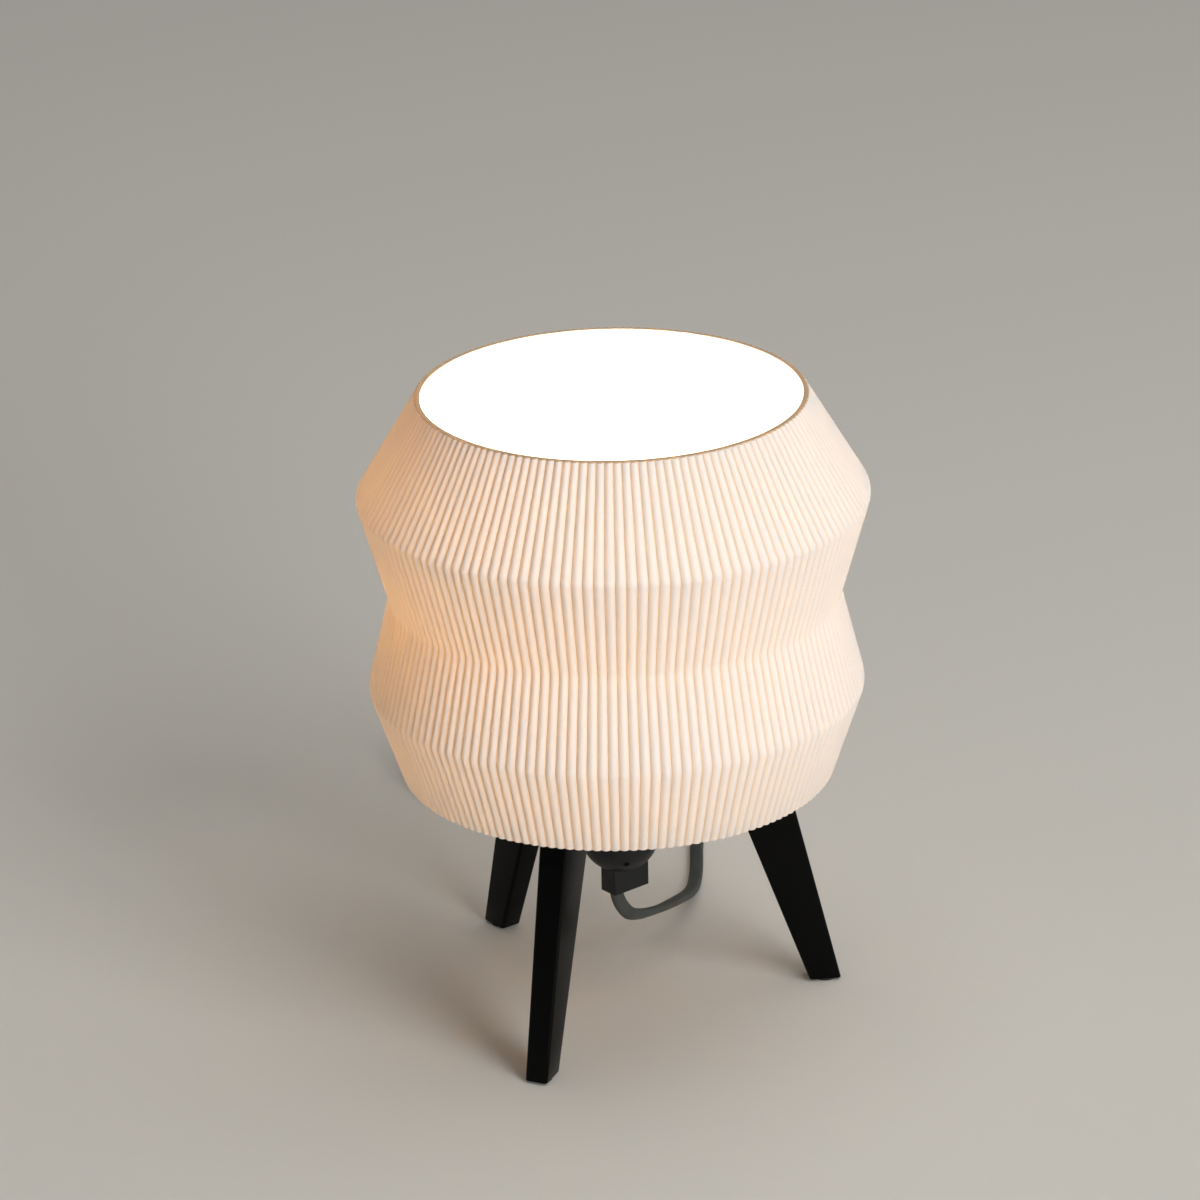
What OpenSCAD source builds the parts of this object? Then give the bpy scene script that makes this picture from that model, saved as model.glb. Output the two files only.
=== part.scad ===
// Table lamp: a folded, ribbed shade on three splayed legs, with a screwed lampholder,
// a globe bulb, a rocker switch on the flat cord and a flat two-pin plug.
// Millimetres. The lamp's axis is Z, the table is z = 0 and the front is -Y.

/* [Shade] */
// Height of the shade's bottom rim above the table
shade_base_z = 100.9; // [98:0.1:104]
// Height of the shade
shade_h = 154.8; // [150:0.1:160]
// Outer radius at the bottom rim
rim_low_r = 85.4; // [84:0.1:87]
// Outer radius of the lower ridge
ridge_low_r = 97.4; // [95:0.1:99]
// Outer radius of the valley between the ridges
valley_r = 88.1; // [86:0.1:90]
// Outer radius of the upper ridge
ridge_top_r = 100; // [98:0.1:102]
// Outer radius at the top rim
rim_top_r = 76.1; // [74:0.1:78]
// Thickness of the ribbed wall, measured level
shade_wall = 2.4; // [2:0.1:3]
// Thickness of the shade's floor
shade_floor = 2; // [1.6:0.1:2.4]

/* [Legs] */
// Direction of each leg, in degrees from +X
leg_azimuths = [7, 127, -113]; // [-180:1:180]
// Distance from the axis to the inner side of a foot
foot_inner_r = 75.8; // [74:0.1:77]
// Distance from the axis to the outer side of a foot
foot_outer_r = 88.5; // [87:0.1:90]
// Distance from the axis to the inner side of a leg's top
top_inner_r = 41.2; // [40:0.1:42]
// Distance from the axis to the outer side of a leg's top
top_outer_r = 65.4; // [64:0.1:67]
// Thickness of a leg at the foot
foot_thick = 9.3; // [9:0.1:10]
// Thickness of a leg at its top
top_thick = 11.8; // [11:0.1:13]
// Radius of a leg's long edges
leg_edge_r = 1.3; // [0.8:0.1:2]
// Thickness of a foot pad
pad_h = 1; // [0.6:0.1:1.4]
// Radius of a foot pad
pad_r = 4; // [3.4:0.1:4.4]

/* [Hub] */
// Thickness of the three-armed hub
hub_h = 6; // [5:0.1:7]
// Radius of the hub's middle
hub_r = 27; // [25:0.5:30]
// Width of an arm
arm_w = 14; // [12.5:0.1:15]
// Reach of an arm from the axis
arm_reach = 67; // [66:0.1:69]
// Distance of the two screws of each leg from the axis
screw_radii = [47.5, 59]; // [46:0.5:60]

/* [Lampholder] */
// Radius of the lampholder's domed cap
dome_r = 15.75; // [15.5:0.05:16]
// Height of the dome's centre
dome_z = 70; // [69:0.1:71]
// Radius of the threaded skirt
skirt_r = 14; // [13.8:0.05:14.1]
// Length of the skirt above the hub's underside
skirt_h = 19; // [17:0.5:21]
// Inner radius of the brass screw shell
socket_r = 6.97; // [6.95:0.01:7]
// Height of the lamp's centre contact
contact_z = 88; // [87:0.1:89]

/* [Cord clamp] */
// Length of the clamp block
clamp_l = 18; // [16:0.1:19]
// Width of the clamp block
clamp_w = 9; // [8.6:0.1:10]
// Height of the clamp block's underside
clamp_z = 46.5; // [45:0.1:48]
// Direction of the clamp block's length, in degrees from +X
clamp_azimuth = 40; // [34:1:46]

/* [Cord] */
// Width of the flat cord
cord_w = 5.7; // [5.4:0.1:6]
// Thickness of the flat cord
cord_t = 3.4; // [3.2:0.1:3.6]
// Radius at the middle of the coil's turns
coil_r = 33; // [30:0.5:34]

/* [Bulb] */
// Radius of the globe
globe_r = 22.5; // [22:0.1:23]
// Height of the bulb from its tip to the top of its globe
bulb_h = 79; // [78:0.5:80]

/* [Switch] */
// Length of the switch
switch_l = 62; // [60:0.5:66]
// Width of the switch
switch_w = 24; // [23:0.5:26]
// Height of the lower half of its case
switch_base_h = 6; // [5.8:0.1:6.4]
// Height of its closed case
switch_h = 15; // [15:0.1:16]
// Tilt of the rocker to either side, in degrees
rocker_tilt = 8; // [6:0.5:8]
// Tilt of the contact lever to either side, in degrees
lever_tilt = 6; // [4:0.5:6]

/* [Plug] */
// Width of the plug
plug_w = 35.3; // [34:0.1:36]
// Thickness of the plug
plug_t = 13.7; // [13:0.1:14]
// Distance between the pins
pin_pitch = 18.6; // [17.5:0.1:19]
// Radius of a pin
pin_r = 2; // [1.9:0.05:2.1]
// Length of a pin
pin_l = 19; // [18:0.1:20]

/* [Hidden] */
$fn = 64;

eps = 0.01;
gap = 0.1;       // between pieces that are assembled but not glued
run_gap = 0.05;  // radial play of a running fit

// Shade: radius and height above the rim of each fold, from the bottom rim to the top rim
shade_folds = [
    [rim_low_r, 0], [ridge_low_r, 36.1], [valley_r, 73], [ridge_top_r, 114.5], [rim_top_r, shade_h]
];
shade_bore_r = skirt_r + 0.3;
inner_floor_r = rim_low_r - shade_wall + (ridge_low_r - rim_low_r) * shade_floor / shade_folds[1][1];

// Hub and legs
hub_z = shade_base_z - hub_h;
leg_top_z = hub_z;
insert_r = 2.3;
insert_l = 5;
insert_bore_r = 1.55;
screw_r = 1.5;
screw_head_r = 3;
screw_head_h = 1.6;
screw_l = 9.5;

// Lampholder: heights of its split line, flange and mouth
cap_top_z = 78;
cap_wall = 2.2;
flange_r = 16.6;
flange_h = 2.5;
mouth_r = 11.5;
mouth_z = 107;
core_h = 8;
shell_wall = 0.6;
shell_l = 17;
ring_r = 21.5;
lock_azimuth = -80;
lock_drop = 29;
lock_r = 1.25;
lock_l = 3;

// Cord clamp: its centre, and where the cord and the screw go through it
clamp_at = [1.7, 0];
clamp_corner_r = 1;
clamp_hole_shift = 4.8;
channel_play = 0.15;
clamp_screw_r = 1.4;
clamp_head_r = 2.3;
clamp_head_h = 1.8;
cord_exit = [-1.9, -2.6];
lead_r = 1.05;

// Bulb, from its tip upwards
tip_z = contact_z + gap;
cap_r = socket_r - 0.07;
shell_low_z = tip_z + 4.4;
shell_top_z = tip_z + 21;
globe_z = contact_z + bulb_h - globe_r;
globe_cut_z = globe_z - 13.5;
globe_cut_r = sqrt(globe_r * globe_r - 13.5 * 13.5);
globe_wall = 1;

// Switch: it lies behind the lamp, along Y
switch_at = [40, 223, 0];
switch_corner_r = 9;
switch_wall = 2;
pivot_z = 11.5;
lever_z = 4.4;
rocker_w = 10.4;
rocker_half_l = 9.6;
rocker_pin_r = 1;
cheek_w = 2;
case_screws = [[-19, 7.2], [19, -7.2]];

// Cord: half its flat middle, its edge radius and its section as eight corners
flat_half = (cord_w - cord_t) / 2;
cord_r = cord_t / 2;
cord_section = [
    for (k = [0 : 7])
        let (a = 22.5 + 45 * k, r = cord_r / cos(22.5))
            [sign(cos(a)) * flat_half + r * cos(a), r * sin(a)]
];

// Coil: it lies behind the lamp, with the plug on it
coil_at = [-48, 216];
coil_half_w = 7.1;
coil_h = 11.7;
coil_last_r = 38.4;  // the turn that the plug's cord leaves from
edge_z = 2.9;        // middle of a cord that stands on its edge on the table
top_turn_z = 8.8;    // middle of the turns on top
tie_azimuth = -110;
tie_w = 9;
tie_t = 0.35;

// Plug: the middle of its face towards the cord, on top of the coil
plug_at = [-38, 240, coil_h + gap];
plug_z = plug_at[2] + plug_t / 2;
plug_l = 34;
boot_l = 24;
sleeve_l = 10;
sleeve_r = pin_r - 0.25;
sleeve_bore_r = pin_r - 0.5;

// Routes: x, y and z of each point, then the azimuth and elevation of the cord's flat width
lamp_route = [
    [-1.9, -2.6, 57, 40, 0], [-1.9, -2.6, 52, 40, 0], [-1.9, -2.6, 46.5, 40, 0],
    [-1.2, -2, 42.5, 38, 8], [0.3, -0.5, 38.2, 34, 18], [3.2, 2.9, 33.2, 26, 28],
    [7.9, 13.4, 27.8, 8, 30], [11.6, 21.3, 24.9, 0, 26], [15.7, 31.2, 21.6, -6, 20],
    [19.9, 43.8, 17.6, -10, 14], [23.8, 57.2, 13.3, -13, 9], [27.1, 70.5, 9, -13, 5],
    [29.6, 84, 5.3, -11, 2], [30.9, 96.2, 2.9, -7, 0], [31.7, 108, 1.9, -4, 0],
    [32.1, 119, 1.7, -3, 0], [32.5, 134, 1.7, -3, 0], [34, 155, 1.7, -6, 0],
    [37, 172, 2.6, -7, 0], [39.4, 184, 5, -5, 0], [40, 192, 6, 0, 0]
];
loop_at = [15.2, 256];
loop_r = 24.8;
switch_route = concat(
    [[loop_at[0] + loop_r, loop_at[1] - 2, switch_base_h, 0, 0]],
    [
        for (a = [0 : 15 : 180])
            let (share = min(1, a / 90))
                [
                    loop_at[0] + loop_r * cos(a), loop_at[1] + loop_r * sin(a),
                    climb(switch_base_h, edge_z, share), a, 90 * share
                ]
    ],
    [for (y = [247, 238, 227]) [loop_at[0] - loop_r, y, edge_z, 180, 90]]
);
plug_bend_r = 24;
plug_route = concat(
    [
        for (a = [225 : -9 : 180])
            [
                coil_at[0] + coil_last_r * cos(a), coil_at[1] + coil_last_r * sin(a),
                climb(top_turn_z, plug_z, (225 - a) / 95), a, 90
            ]
    ],
    [
        for (a = [165 : -15 : 90])
            [
                coil_at[0] - coil_last_r + plug_bend_r * (1 + cos(a)), coil_at[1] + plug_bend_r * sin(a),
                climb(top_turn_z, plug_z, min(1, (45 + (180 - a) * 0.625) / 95)), a, a - 90
            ]
    ],
    [[plug_at[0] - boot_l - gap, plug_at[1], plug_z, 90, 0]]
);

// Height on a smooth climb from low to high, as share goes from 0 to 1
function climb(low, high, share) = low + (high - low) * share * share * (3 - 2 * share);
// Point without the direction of its flat width
function place(p) = [p[0], p[1], p[2]];
// Vector of length 1 along v
function unit(v) = v / norm(v);
// Heading of a route at its point i
function heading(route, i) =
    unit(place(route[min(i + 1, len(route) - 1)]) - place(route[max(i - 1, 0)]));
// Direction of the cord's flat width at point i, square to its heading
function flat_side(route, i) =
    let (
        az = route[i][3],
        el = route[i][4],
        wide = [cos(el) * cos(az), cos(el) * sin(az), sin(el)],
        along = heading(route, i)
    ) unit(wide - (wide * along) * along);
// Corners of the cord's section at point i
function cord_ring(route, i) =
    let (side = flat_side(route, i), up = cross(heading(route, i), side))
        [for (c = cord_section) place(route[i]) + c[0] * side + c[1] * up];

// Flat cord swept along a route
module cord_tube(route) {
    n = len(cord_section);
    last = (len(route) - 1) * n;
    sides = [
        for (i = [0 : n : last - n], k = [0 : n - 1])
            let (a = i + k, b = i + (k + 1) % n) each [[a, b + n, b], [a, a + n, b + n]]
    ];
    start_cap = [for (k = [1 : n - 2]) [0, k, k + 1]];
    end_cap = [for (k = [1 : n - 2]) [last, last + k + 1, last + k]];
    rings = [for (i = [0 : len(route) - 1]) each cord_ring(route, i)];
    polyhedron(rings, concat(sides, start_cap, end_cap));
}

// Outline with round corners, made of two bars and four discs
module round_outline(l, w, r) {
    square([l - 2 * r, w], center = true);
    square([l, w - 2 * r], center = true);
    for (x = [-1, 1], y = [-1, 1])
        translate([x * (l / 2 - r), y * (w / 2 - r)])
            circle(r = r);
}

// Section of the cord's channel, wider than the cord by play on each side
module channel_outline(play) {
    square([2 * flat_half, cord_t + 2 * play], center = true);
    for (x = [-1, 1])
        translate([x * flat_half, 0])
            circle(r = cord_r + play);
}

// Ring with an outer and an inner radius
module tube(r_out, r_in, h) {
    difference() {
        cylinder(r = r_out, h = h);
        translate([0, 0, -1])
            cylinder(r = r_in, h = h + 2);
    }
}

// Places its children at each leg screw, on the hub's underside
module at_leg_screws() {
    for (a = leg_azimuths, r = screw_radii)
        rotate([0, 0, a])
            translate([r, 0, hub_z])
                children();
}

module shade() {
    inner = [for (i = [4 : -1 : 1]) [shade_folds[i][0] - shade_wall, shade_folds[i][1]]];
    color("antiquewhite")
        translate([0, 0, shade_base_z])
            rotate_extrude($fn = 144)
                polygon(concat(
                    [[shade_bore_r, 0]], shade_folds, inner,
                    [[inner_floor_r, shade_floor], [shade_bore_r, shade_floor]]
                ));
}

module shade_ring() {
    color("dimgray")
        translate([0, 0, shade_base_z + shade_floor]) {
            tube(ring_r, skirt_r + gap, 2);
            translate([0, 0, 2 - eps])
                tube(skirt_r + 3.5, skirt_r + gap, 4.5);
        }
}

module hub_spider() {
    color("black")
        difference() {
            translate([0, 0, hub_z])
                linear_extrude(hub_h) {
                    circle(r = hub_r);
                    for (a = leg_azimuths)
                        rotate(a) {
                            translate([0, -arm_w / 2])
                                square([arm_reach - arm_w / 2, arm_w]);
                            translate([arm_reach - arm_w / 2, 0])
                                circle(r = arm_w / 2);
                        }
                }
            translate([0, 0, hub_z - 1])
                cylinder(r = shade_bore_r, h = hub_h + 2);
            at_leg_screws() {
                translate([0, 0, -1])
                    cylinder(r = screw_r + 0.2, h = hub_h + 2);
                translate([0, 0, hub_h - screw_head_h - gap])
                    cylinder(r1 = screw_r + 0.2, r2 = screw_head_r + 0.2, h = screw_head_h + gap + eps);
            }
        }
}

// Thin slice of a leg with round corners, at height z
module leg_slice(inner_r, outer_r, thick, z) {
    for (r = [inner_r + leg_edge_r, outer_r - leg_edge_r], side = [-1, 1])
        translate([r, side * (thick / 2 - leg_edge_r), z])
            cylinder(r = leg_edge_r, h = 0.02, $fn = 32);
}

module leg(azimuth) {
    color("black")
        difference() {
            rotate([0, 0, azimuth])
                hull() {
                    leg_slice(foot_inner_r, foot_outer_r, foot_thick, pad_h);
                    leg_slice(top_inner_r, top_outer_r, top_thick, leg_top_z - 0.02);
                }
            for (r = screw_radii)
                rotate([0, 0, azimuth])
                    translate([r, 0, leg_top_z - insert_l]) {
                        cylinder(r = insert_r, h = insert_l + 1);
                        translate([0, 0, -2])
                            cylinder(r = screw_r + 0.2, h = 3);
                    }
        }
}

module leg_right() { leg(leg_azimuths[0]); }

module leg_back() { leg(leg_azimuths[1]); }

module leg_front() { leg(leg_azimuths[2]); }

module foot_pads() {
    color("darkslategray")
        for (a = leg_azimuths)
            rotate([0, 0, a])
                translate([(foot_inner_r + foot_outer_r) / 2, 0, 0])
                    cylinder(r = pad_r, h = pad_h);
}

module leg_inserts() {
    color("gold")
        at_leg_screws()
            translate([0, 0, -insert_l])
                tube(insert_r - eps, insert_bore_r, insert_l - eps);
}

module leg_screws() {
    color("silver")
        at_leg_screws()
            difference() {
                union() {
                    translate([0, 0, hub_h - screw_l])
                        cylinder(r = screw_r, h = screw_l - screw_head_h + eps);
                    translate([0, 0, hub_h - screw_head_h])
                        cylinder(r1 = screw_r, r2 = screw_head_r, h = screw_head_h - eps);
                }
                translate([0, 0, hub_h - 1.2])
                    cylinder(r = 1.15, h = 2, $fn = 6);
            }
}

// Lower half of a ball round the dome's centre, with a straight wall up to height top
module dome_solid(r, top) {
    translate([0, 0, dome_z]) {
        cylinder(r = r, h = top - dome_z);
        intersection() {
            sphere(r = r);
            translate([0, 0, -r - 1])
                cylinder(r = r + 1, h = r + 1 + eps);
        }
    }
}

// Places its children on the lock screw's axis, with Z pointing out of the dome
module at_lock_screw() {
    translate([0, 0, dome_z])
        rotate([0, 90 + lock_drop, lock_azimuth])
            children();
}

// Places its children in the clamp block's own frame, shifted along its length
module at_clamp(shift, z) {
    translate([clamp_at[0], clamp_at[1], z])
        rotate([0, 0, clamp_azimuth])
            translate([shift, 0, 0])
                children();
}

module holder_cap() {
    color("black")
        difference() {
            dome_solid(dome_r, cap_top_z);
            dome_solid(dome_r - cap_wall, cap_top_z + 1);
            translate([cord_exit[0], cord_exit[1], clamp_z])
                rotate([0, 0, clamp_azimuth])
                    linear_extrude(dome_z - clamp_z)
                        channel_outline(channel_play);
            at_clamp(clamp_hole_shift, clamp_z)
                cylinder(r = clamp_screw_r + 0.1, h = dome_z - clamp_z);
            at_lock_screw()
                cylinder(r = lock_r + run_gap, h = dome_r + 1);
        }
}

module cap_lock_screw() {
    color("silver")
        at_lock_screw()
            translate([0, 0, dome_r - lock_l - 0.4])
                difference() {
                    cylinder(r = lock_r, h = lock_l);
                    translate([0, 0, lock_l - 0.8])
                        linear_extrude(1)
                            square([2 * lock_r + 1, 0.4], center = true);
                }
}

module cord_clamp() {
    color("black")
        difference() {
            at_clamp(0, clamp_z)
                linear_extrude(dome_z - clamp_z - 10.5)
                    round_outline(clamp_l, clamp_w, clamp_corner_r);
            translate([0, 0, dome_z])
                sphere(r = dome_r + 0.02);
            translate([cord_exit[0], cord_exit[1], clamp_z - 1])
                rotate([0, 0, clamp_azimuth])
                    linear_extrude(dome_z - clamp_z)
                        channel_outline(channel_play);
            at_clamp(clamp_hole_shift, clamp_z - 1)
                cylinder(r = clamp_screw_r + 0.1, h = dome_z - clamp_z);
            at_clamp(clamp_hole_shift, clamp_z - 1)
                cylinder(r = clamp_head_r + gap, h = clamp_head_h + 1);
        }
}

module clamp_screw() {
    color("silver")
        at_clamp(clamp_hole_shift, clamp_z + 0.2) {
            cylinder(r = clamp_head_r, h = clamp_head_h - 0.2);
            translate([0, 0, clamp_head_h - 0.3])
                cylinder(r = clamp_screw_r, h = 13);
        }
}

module holder_body() {
    color("dimgray")
        difference() {
            union() {
                translate([0, 0, cap_top_z])
                    cylinder(r = dome_r, h = hub_z - cap_top_z);
                translate([0, 0, hub_z - flange_h])
                    cylinder(r = flange_r, h = flange_h);
                translate([0, 0, hub_z - eps])
                    cylinder(r = skirt_r, h = skirt_h + eps);
            }
            translate([0, 0, cap_top_z - 1])
                cylinder(r = dome_r - cap_wall, h = core_h + 1);
            translate([0, 0, cap_top_z])
                cylinder(r = socket_r + shell_wall + gap, h = 60);
            translate([0, 0, mouth_z])
                cylinder(r = mouth_r, h = 60);
        }
}

module holder_core() {
    color("whitesmoke")
        difference() {
            translate([0, 0, cap_top_z])
                cylinder(r = dome_r - cap_wall - gap, h = core_h);
            translate([0, 0, cap_top_z - 1])
                cylinder(r = 2.6, h = core_h + 2);
            translate([0, 0, cap_top_z + core_h - 3])
                cylinder(r = 5.2, h = 4);
            translate([6.6, -1.6, cap_top_z - 1])
                cube([0.9, 3.2, core_h + 2]);
        }
}

module screw_shell() {
    color("gold")
        translate([0, 0, contact_z + 1])
            tube(socket_r + shell_wall, socket_r, shell_l);
}

module centre_contact() {
    color("gold") {
        translate([0, 0, cap_top_z - 1])
            cylinder(r = 2.4, h = core_h - 2 + eps);
        translate([0, 0, cap_top_z + core_h - 3])
            cylinder(r = 3.4, h = contact_z - cap_top_z - core_h + 3);
    }
}

module shell_contact() {
    color("gold")
        translate([6.7, -1.5, cap_top_z - 1])
            cube([0.7, 3, contact_z - cap_top_z + 2]);
}

// The two brass blocks that hold the cord's cores, under the core
module holder_terminals() {
    color("gold")
        for (side = [-1, 1])
            translate([side * 8 - 2.5, -3, cap_top_z - 7])
                difference() {
                    cube([5, 6, 6]);
                    translate([2.5, 3, -1])
                        cylinder(r = 1.2, h = 5);
                    translate([2.5, 3, 3])
                        rotate([90, 0, 0])
                            cylinder(r = 0.95, h = 8);
                }
}

module terminal_screws() {
    color("silver")
        for (side = [-1, 1])
            translate([side * 8, 0, cap_top_z - 4])
                rotate([90, 0, 0]) {
                    translate([0, 0, 1])
                        cylinder(r = 0.9, h = 2.2);
                    translate([0, 0, 3.1])
                        cylinder(r = 1.6, h = 1);
                }
}

// The cord's two insulated cores, from the end of its sheath to the terminals
module holder_leads() {
    color("saddlebrown")
        for (side = [-1, 1])
            hull() {
                translate([cord_exit[0] + side * 1.25, cord_exit[1] + side * 0.8, 57.2])
                    cylinder(r = lead_r, h = 0.5, $fn = 24);
                translate([side * 7.6, 0, cap_top_z - 8])
                    cylinder(r = lead_r, h = 0.9, $fn = 24);
            }
}

module bulb_globe() {
    color("white")
        difference() {
            translate([0, 0, globe_z])
                sphere(r = globe_r, $fn = 96);
            translate([0, 0, globe_z])
                sphere(r = globe_r - globe_wall, $fn = 96);
            translate([0, 0, globe_cut_z - globe_r])
                cylinder(r = globe_r + 1, h = globe_r);
        }
}

module bulb_housing() {
    wall = 1.4;
    outer = [[8, shell_top_z], [10.4, 114], [14.5, 121], [globe_cut_r, globe_cut_z]];
    inner = [for (i = [3 : -1 : 1]) [outer[i][0] - wall, outer[i][1]]];
    closed_z = shell_top_z + wall;
    color("white")
        rotate_extrude()
            polygon(concat([[0, shell_top_z]], outer, inner, [[outer[0][0] - wall, closed_z], [0, closed_z]]));
}

module bulb_shell() {
    color("silver")
        translate([0, 0, shell_low_z])
            tube(cap_r, cap_r - 0.5, shell_top_z - shell_low_z);
}

module bulb_insulator() {
    color("darkslategray")
        difference() {
            translate([0, 0, tip_z + 0.9])
                cylinder(r1 = 3.2, r2 = 6, h = 3.5);
            translate([0, 0, tip_z])
                cylinder(r = 1.4 + run_gap, h = 6);
        }
}

module bulb_tip() {
    color("silver")
        translate([0, 0, tip_z]) {
            cylinder(r = 2.6, h = 0.8);
            translate([0, 0, 0.8 - eps])
                cylinder(r = 1.4, h = 3);
        }
}

module led_board() {
    color("gainsboro")
        translate([0, 0, globe_cut_z - 1.4])
            cylinder(r = globe_cut_r - 2.6, h = 1.4);
}

module led_chips() {
    color("khaki")
        for (k = [0 : 7])
            rotate([0, 0, 45 * k])
                translate([8.5, -1.4, globe_cut_z])
                    cube([2.8, 2.8, 0.8]);
}

module led_driver() {
    color("seagreen")
        translate([-0.8, -5.5, shell_top_z + 1.5])
            cube([1.6, 11, globe_cut_z - shell_top_z - 4]);
}

module lamp_cord() {
    color("dimgray")
        cord_tube(lamp_route);
}

// Places its children in the switch's own frame, with X along the cord and Z up
module at_switch() {
    translate(switch_at)
        rotate([0, 0, 90])
            children();
}

// Channels of the two cords in the ends of the switch's case, at its split line
module switch_entries() {
    for (end = [-1, 1])
        translate([end * switch_l / 2, 0, switch_base_h])
            rotate([90, 0, 90])
                translate([0, 0, -3])
                    linear_extrude(6)
                        channel_outline(channel_play);
}

module switch_base() {
    color("dimgray")
        at_switch()
            difference() {
                linear_extrude(switch_base_h)
                    round_outline(switch_l, switch_w, switch_corner_r);
                difference() {
                    translate([0, 0, 1.6])
                        linear_extrude(switch_base_h)
                            round_outline(switch_l - 2 * switch_wall, switch_w - 2 * switch_wall,
                                switch_corner_r - switch_wall);
                    for (p = case_screws)
                        translate([p[0], p[1], 0])
                            cylinder(r = 3.2, h = switch_base_h);
                }
                for (p = case_screws)
                    translate([p[0], p[1], -1]) {
                        cylinder(r = 1.35, h = switch_base_h + 2);
                        cylinder(r = 2.5, h = 3.2);
                    }
                switch_entries();
            }
}

module switch_cover() {
    color("dimgray")
        at_switch()
            difference() {
                union() {
                    difference() {
                        translate([0, 0, switch_base_h])
                            linear_extrude(switch_h - switch_base_h)
                                round_outline(switch_l, switch_w, switch_corner_r);
                        translate([0, 0, switch_base_h - 1])
                            linear_extrude(switch_h - switch_base_h - 0.8)
                                round_outline(switch_l - 2 * switch_wall, switch_w - 2 * switch_wall,
                                    switch_corner_r - switch_wall);
                    }
                    for (side = [-1, 1])
                        translate([-4, side * (rocker_w / 2 + 0.4 + cheek_w / 2) - cheek_w / 2, 9])
                            cube([8, cheek_w, switch_h - 10]);
                    for (p = case_screws)
                        translate([p[0], p[1], switch_base_h])
                            cylinder(r = 3.2, h = switch_h - switch_base_h - 1);
                }
                translate([-rocker_half_l - 1, -rocker_w / 2 - 0.4, switch_h - 4])
                    cube([2 * rocker_half_l + 2, rocker_w + 0.8, 6]);
                translate([0, 0, pivot_z])
                    rotate([90, 0, 0])
                        cylinder(r = rocker_pin_r + eps, h = 40, center = true);
                for (p = case_screws)
                    translate([p[0], p[1], switch_base_h - 1])
                        cylinder(r = 1.3, h = 6.5);
                switch_entries();
            }
}

module switch_screws() {
    color("silver")
        at_switch()
            for (p = case_screws)
                translate([p[0], p[1], 0.3]) {
                    cylinder(r = 2.3, h = 1.8);
                    cylinder(r = 1.25, h = 10);
                }
}

// Side view of the rocker, with its pivot at the origin
module rocker_outline() {
    polygon([
        [-rocker_half_l, 4.6], [0, 3.4], [rocker_half_l, 4.6], [rocker_half_l, 2], [8, -1.4],
        [2, -1.4], [1.6, -4.2], [-1.6, -4.2], [-2, -1.4], [-8, -1.4], [-rocker_half_l, 2]
    ]);
}

module switch_rocker() {
    color("black")
        at_switch()
            translate([0, 0, pivot_z])
                rotate([0, rocker_tilt, 0])
                    difference() {
                        rotate([90, 0, 0])
                            translate([0, 0, -rocker_w / 2])
                                linear_extrude(rocker_w)
                                    rocker_outline();
                        rotate([90, 0, 0])
                            cylinder(r = rocker_pin_r + run_gap, h = 40, center = true);
                    }
}

module rocker_pin() {
    color("silver")
        at_switch()
            translate([0, 0, pivot_z])
                rotate([90, 0, 0])
                    cylinder(r = rocker_pin_r, h = switch_w - 2 * switch_wall - 5, center = true);
}

module rocker_plunger() {
    color("white")
        at_switch()
            translate([0, 0, pivot_z])
                rotate([0, rocker_tilt, 0])
                    translate([0, 0, -6.5])
                        cylinder(r = 1, h = 2.3);
}

module contact_lever() {
    color("gold")
        at_switch()
            translate([0, 0, lever_z])
                rotate([0, -lever_tilt, 0]) {
                    cube([15, 5, 0.6], center = true);
                    rotate([90, 0, 0])
                        cylinder(r = 0.45, h = 5, center = true, $fn = 32);
                }
}

// Pivot post and contact post under the lever, and the blocks that hold the cords' cores
module switch_terminals() {
    color("gold")
        at_switch() {
            translate([-0.6, -2.5, 1.6])
                cube([1.2, 5, lever_z - 0.5 - 1.6]);
            for (end = [-1, 1])
                translate([end * 6.8 - 1, -2.5, 1.6])
                    cube([2, 5, 1.5]);
            for (end = [-1, 1])
                translate([end * 13.5 - 2.5, -3.5, 1.6])
                    cube([5, 7, 5]);
        }
}

module switch_cord() {
    color("dimgray")
        cord_tube(switch_route);
}

// Ring round the coil's middle, wider than the wound cord by extra on each side
module coil_ring(extra, low, high, corner_r) {
    translate([coil_at[0], coil_at[1], (low + high) / 2])
        rotate_extrude($fn = 96)
            translate([coil_r, 0])
                round_outline(2 * (coil_half_w + extra), high - low, corner_r);
}

// Bar across the coil where the tie goes round it
module tie_bar(w, low, high) {
    translate([coil_at[0], coil_at[1], low])
        rotate([0, 0, tie_azimuth])
            translate([coil_r - 2 * coil_half_w, -w / 2, 0])
                cube([4 * coil_half_w, w, high - low]);
}

// Outer shape of the wound part of the cord, lifted a little where the tie goes under it
module cord_coil() {
    color("dimgray")
        difference() {
            coil_ring(0, 0, coil_h, 1.6);
            difference() {
                tie_bar(tie_w + 0.2, -1, coil_h / 2);
                coil_ring(eps, tie_t + run_gap, coil_h, 1.6);
            }
        }
}

// Strap that holds the coil's turns together
module cord_tie() {
    color("black")
        intersection() {
            difference() {
                coil_ring(tie_t + run_gap, 0, coil_h + tie_t + run_gap, 2);
                coil_ring(run_gap, tie_t, coil_h + run_gap, 1.6);
            }
            tie_bar(tie_w, -1, 2 * coil_h);
        }
}

module plug_cord() {
    color("dimgray")
        cord_tube(plug_route);
}

// Places its children on the plug's axis, with X from the cord towards the pins
module at_plug() {
    translate([plug_at[0], plug_at[1], plug_z])
        children();
}

module plug_boot() {
    color("dimgray")
        at_plug()
            translate([-boot_l, 0, 0])
                rotate([0, 90, 0])
                    cylinder(r1 = 3.4, r2 = 4.8, h = boot_l);
}

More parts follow.
